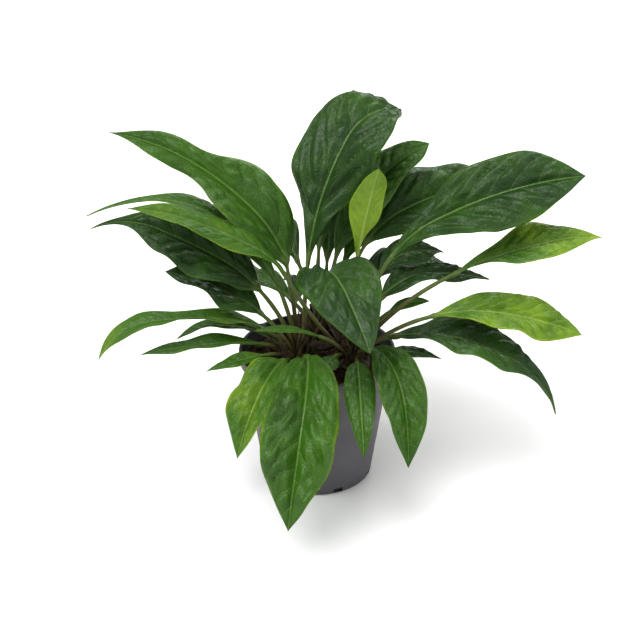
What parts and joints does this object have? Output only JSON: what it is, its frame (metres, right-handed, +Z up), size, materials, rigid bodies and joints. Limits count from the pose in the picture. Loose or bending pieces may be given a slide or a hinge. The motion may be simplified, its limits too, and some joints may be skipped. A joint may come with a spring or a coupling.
{
  "type": "potted anthurium",
  "caption": "Bushy foliage anthurium with long arching quilted leaves, growing from soil in a plain tapered nursery pot.",
  "frame": {"origin": "centre of the pot's foot, on the surface it stands on", "axes": "+Z up, -Y towards the front of the plant, +X to its right as seen from the front"},
  "size_m": [0.5995, 0.4912, 0.4563],
  "materials": {
    "pot_plastic": "matte dark grey moulded plastic",
    "potting_mix": "damp dark bark and coir mix",
    "crown": "rough green-brown stem",
    "leaf_mature": "glossy dark green, sunken veins",
    "leaf_mid": "glossy mid green, sunken veins",
    "leaf_young": "glossy yellow-green, quilted"
  },
  "bodies": {
    "root": {"pot": "pot_plastic", "soil": "potting_mix", "crown_left": "crown", "crown_right": "crown", "crown_back": "crown", "leaf_left_bit": "leaf_young", "leaf_left_low_front": "leaf_mid", "leaf_left_low": "leaf_young", "leaf_left_stub": "leaf_mature", "leaf_left_short": "leaf_mid", "leaf_left_droop": "leaf_mid", "leaf_left_mid": "leaf_mature", "leaf_left_dark": "leaf_mature", "leaf_left_long": "leaf_mature", "leaf_left_high": "leaf_mid", "leaf_top": "leaf_mature", "leaf_crest": "leaf_mid", "leaf_young_upright": "leaf_young", "leaf_centre_arch": "leaf_mature", "leaf_centre_narrow": "leaf_young", "leaf_left_light": "leaf_young", "leaf_front_small": "leaf_mature", "leaf_front_left": "leaf_young", "leaf_front_big": "leaf_mature", "leaf_front_narrow": "leaf_mature", "leaf_front_right": "leaf_mid", "leaf_right_stub": "leaf_mature", "leaf_right_low": "leaf_mature", "leaf_right_light": "leaf_young", "leaf_right_twist": "leaf_mid", "leaf_right_yellow": "leaf_young", "leaf_right_purple": "leaf_mature", "leaf_right_under": "leaf_mature", "leaf_right_big": "leaf_mature", "leaf_right_behind": "leaf_mature", "leaf_back_low": "leaf_mature", "leaf_back_low_left": "leaf_mid", "leaf_back_low_right": "leaf_mature", "leaf_back_mid": "leaf_mature", "leaf_back_mid_left": "leaf_mature", "leaf_back_mid_right": "leaf_mid", "leaf_back_high": "leaf_mature"}
  },
  "joints": []
}
